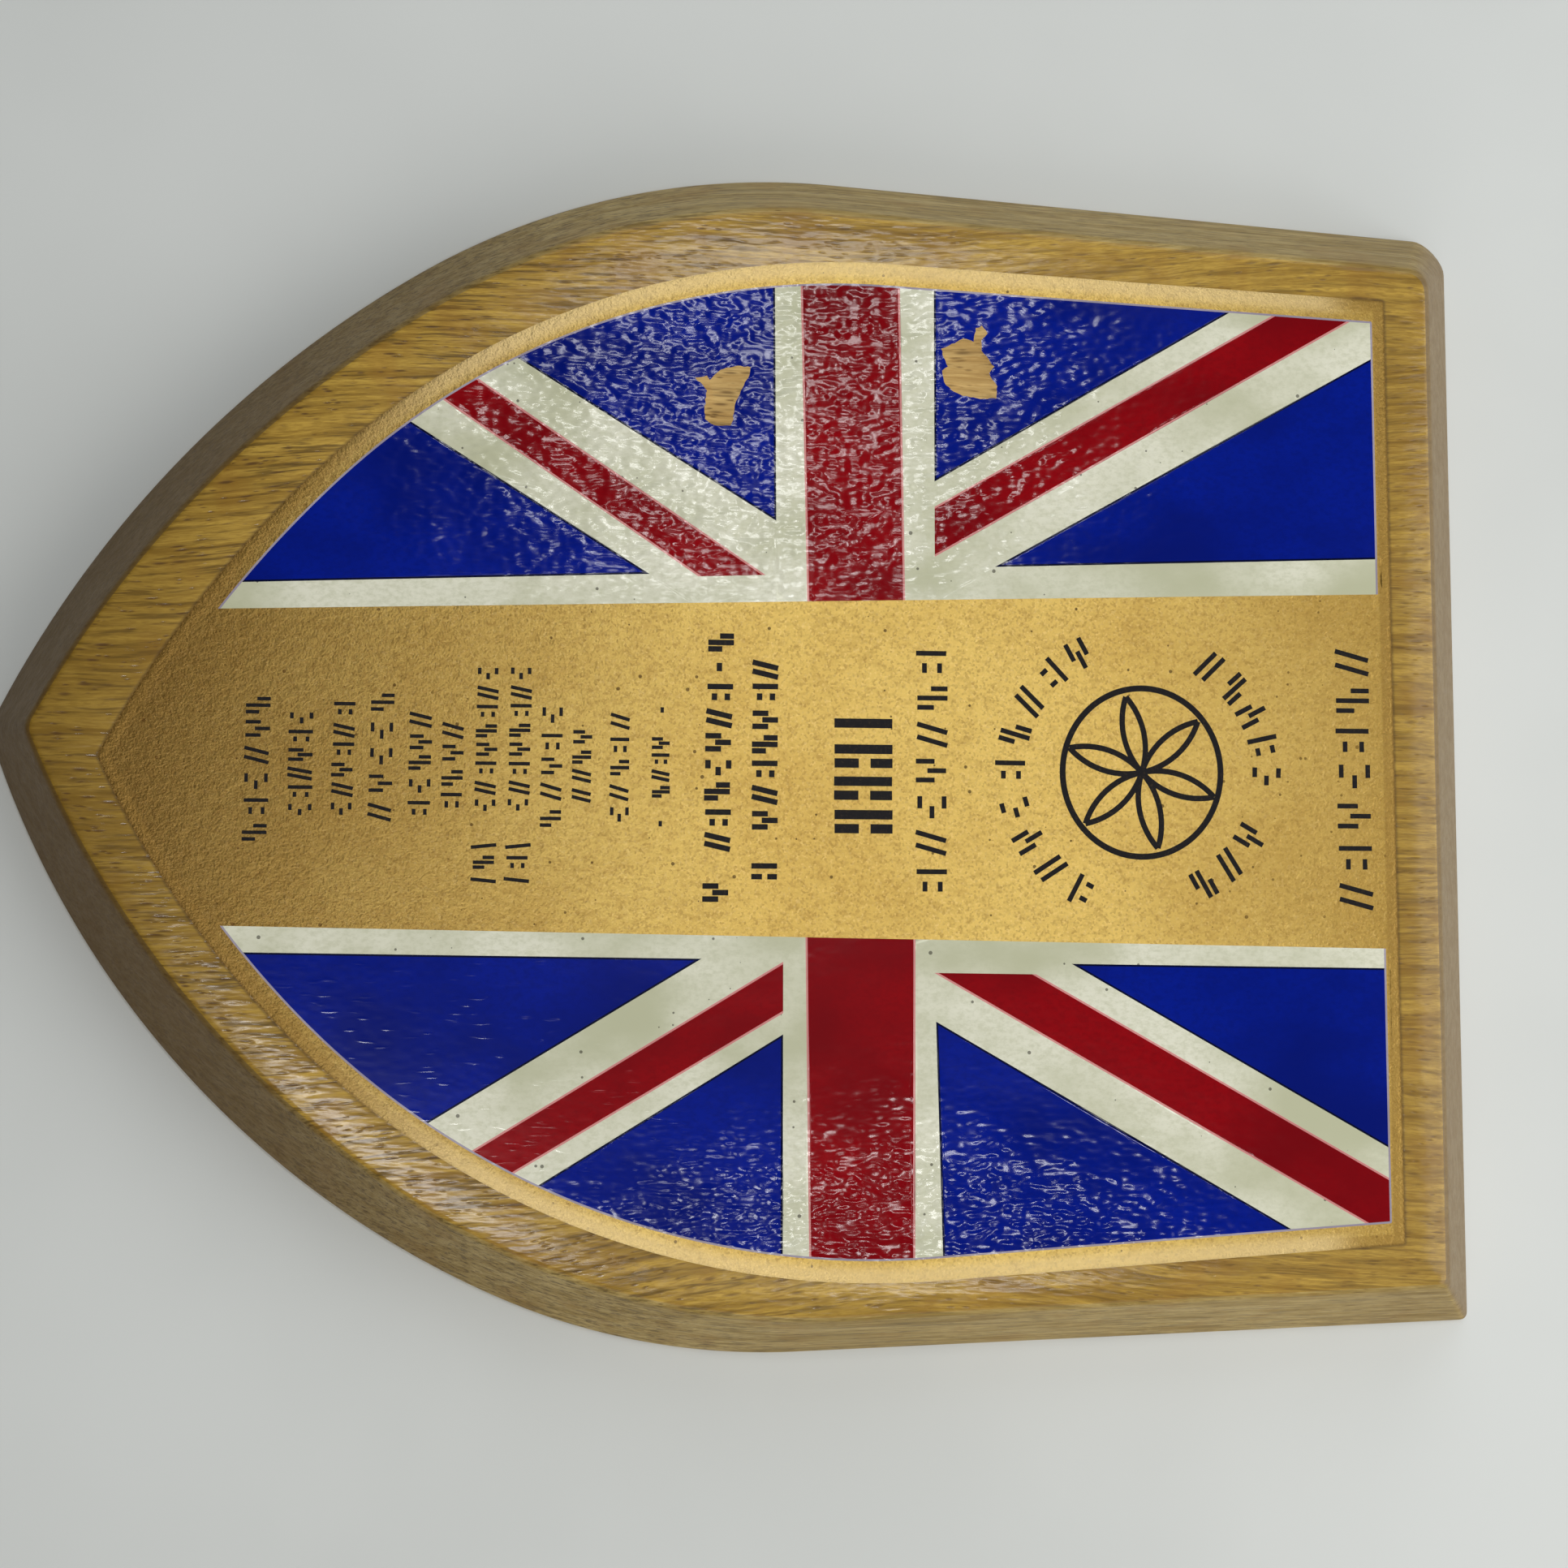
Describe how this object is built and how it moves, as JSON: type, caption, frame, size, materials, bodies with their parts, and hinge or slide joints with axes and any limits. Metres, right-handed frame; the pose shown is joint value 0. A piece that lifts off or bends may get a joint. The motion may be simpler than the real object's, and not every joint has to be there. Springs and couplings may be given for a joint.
{
  "type": "commemorative shield plaque",
  "caption": "Small wooden heater-shaped wall shield with a bevelled border and a flat painted face showing crossed-bar flags on a gold panel, with rows of dark print marks",
  "frame": {"origin": "On the flat back face, at the middle of the outline's width and height", "axes": "+Z points to the shield's top edge, -Y is the way the decorated face looks, +X is the viewer's right"},
  "size_m": [0.1222, 0.011, 0.1538],
  "materials": {
    "wood": "golden-brown open-grained hardwood under a glossy, slightly crinkled varnish, with dirt in the pores"
  },
  "bodies": {
    "root": {"shield": "wood"}
  },
  "joints": []
}
